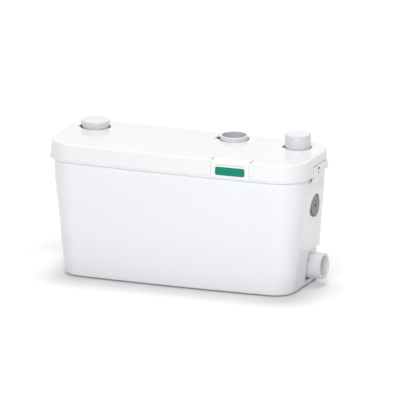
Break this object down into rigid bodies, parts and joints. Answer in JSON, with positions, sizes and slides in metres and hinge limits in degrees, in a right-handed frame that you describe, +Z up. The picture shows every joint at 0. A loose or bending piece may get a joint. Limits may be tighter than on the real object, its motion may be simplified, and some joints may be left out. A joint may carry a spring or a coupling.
{
  "type": "waste-water lifting unit with macerator pump",
  "caption": "Tapered plastic tank with a clipped lid, a capped discharge, an open top inlet, a side inlet pipe and a grinding pump inside that lifts waste water.",
  "frame": {"origin": "centre of the bounding box at the bottom of the rubber feet", "axes": "+X along the width towards the side inlet pipe, -Y is the bowed front with the label, +Z up"},
  "size_m": [0.409, 0.156, 0.225],
  "materials": {
    "casing_white": "gloss moulded",
    "lid_white": "gloss moulded",
    "port_white": "satin moulded",
    "label_print": "gloss plate with a plain green panel",
    "rubber_grey": "smooth grey rubber",
    "rubber_black": "black rubber",
    "cover_grey": "matt moulded",
    "pump_plastic": "glass filled plastic",
    "valve_plastic": "matt moulded",
    "motor_paint": "dark enamel",
    "steel": "stainless",
    "lamination": "stacked laminations",
    "copper": "enamelled copper wire",
    "board_green": "lacquered board",
    "switch_black": "moulded",
    "filter_charcoal": "granular filter cartridge"
  },
  "bodies": {
    "tank": {"tank_shell": "casing_white", "rubber_feet": "rubber_black", "tank_gasket": "rubber_black", "sealing_cover": "cover_grey", "cover_screws": "steel", "cable_gland": "switch_black", "gland_nut": "switch_black", "carbon_filter": "filter_charcoal", "top_inlet_spigot": "port_white", "top_inlet_seal": "rubber_black", "discharge_spigot": "port_white", "discharge_seal": "rubber_black", "check_valve_body": "valve_plastic", "valve_seat": "rubber_black", "check_flap_pin": "steel", "discharge_hose": "rubber_black", "hose_clamps": "steel", "side_inlet_pipe": "port_white", "side_inlet_seal": "rubber_black", "inlet_flap_pin": "steel", "isolation_mounts": "rubber_black", "pump_foot": "pump_plastic", "grinder_ring": "steel", "volute_casing": "pump_plastic", "seal_plate": "steel", "shaft_seal": "switch_black", "lower_bearing": "steel", "upper_bearing": "steel", "motor_housing": "motor_paint", "stator_core": "lamination", "stator_windings": "copper", "motor_end_cap": "motor_paint", "tie_rods": "steel", "motor_isolator": "rubber_black", "pressure_bell": "valve_plastic", "switch_housing": "switch_black", "diaphragm": "rubber_black", "switch_cover": "valve_plastic", "microswitch": "switch_black", "control_board": "board_green", "terminal_block": "port_white", "run_capacitor": "port_white"},
    "lid": {"lid_cover": "lid_white", "label_plate": "label_print"},
    "right_clip": {"latch_right": "lid_white"},
    "left_clip": {"latch_left": "lid_white"},
    "vent_cap": {"vent_cap": "port_white"},
    "discharge_cap": {"discharge_cap": "port_white"},
    "side_plug": {"side_inlet_plug": "rubber_grey"},
    "check_flap": {"check_flap": "rubber_black"},
    "inlet_flap": {"inlet_flap": "rubber_black"},
    "plunger": {"switch_plunger": "port_white"},
    "rotor": {"motor_shaft": "steel", "rotor_core": "lamination", "impeller": "pump_plastic", "cutter_blade": "steel", "blade_nut": "steel"}
  },
  "joints": [
    {"name": "rotor_spin", "type": "hinge", "parent": "tank", "child": "rotor", "pos_m": [-0.048, 0.006, 0.1], "axis": [0, 0, 1], "continuous": true},
    {"name": "lid_lift", "type": "slide", "parent": "tank", "child": "lid", "axis": [0, 0, 1], "range_m": [0, 0.12]},
    {"name": "right_clip_turn", "type": "hinge", "parent": "lid", "child": "right_clip", "pos_m": [0.1976, 0.0065, 0.1926], "axis": [0, -1, 0], "range_deg": [0, 8], "stiffness_Nm_per_rad": 0.05},
    {"name": "left_clip_turn", "type": "hinge", "parent": "lid", "child": "left_clip", "pos_m": [-0.1976, 0.0065, 0.1926], "axis": [0, 1, 0], "range_deg": [0, 8], "stiffness_Nm_per_rad": 0.05},
    {"name": "vent_cap_lift", "type": "slide", "parent": "tank", "child": "vent_cap", "axis": [0, 0, 1], "range_m": [0, 0.04]},
    {"name": "discharge_cap_lift", "type": "slide", "parent": "tank", "child": "discharge_cap", "axis": [0, 0, 1], "range_m": [0, 0.04]},
    {"name": "side_plug_pull", "type": "slide", "parent": "tank", "child": "side_plug", "axis": [1, 0, 0], "range_m": [0, 0.03]},
    {"name": "check_flap_swing", "type": "hinge", "parent": "tank", "child": "check_flap", "pos_m": [0.1286, 0.038, 0.1316], "axis": [0, -1, 0], "range_deg": [0, 55]},
    {"name": "inlet_flap_swing", "type": "hinge", "parent": "tank", "child": "inlet_flap", "pos_m": [0.1564, 0.028, 0.0492], "axis": [0, 1, 0], "range_deg": [0, 60]},
    {"name": "plunger_travel", "type": "slide", "parent": "tank", "child": "plunger", "axis": [0, 0, 1], "range_m": [0, 0.0015], "stiffness_N_per_m": 300}
  ]
}
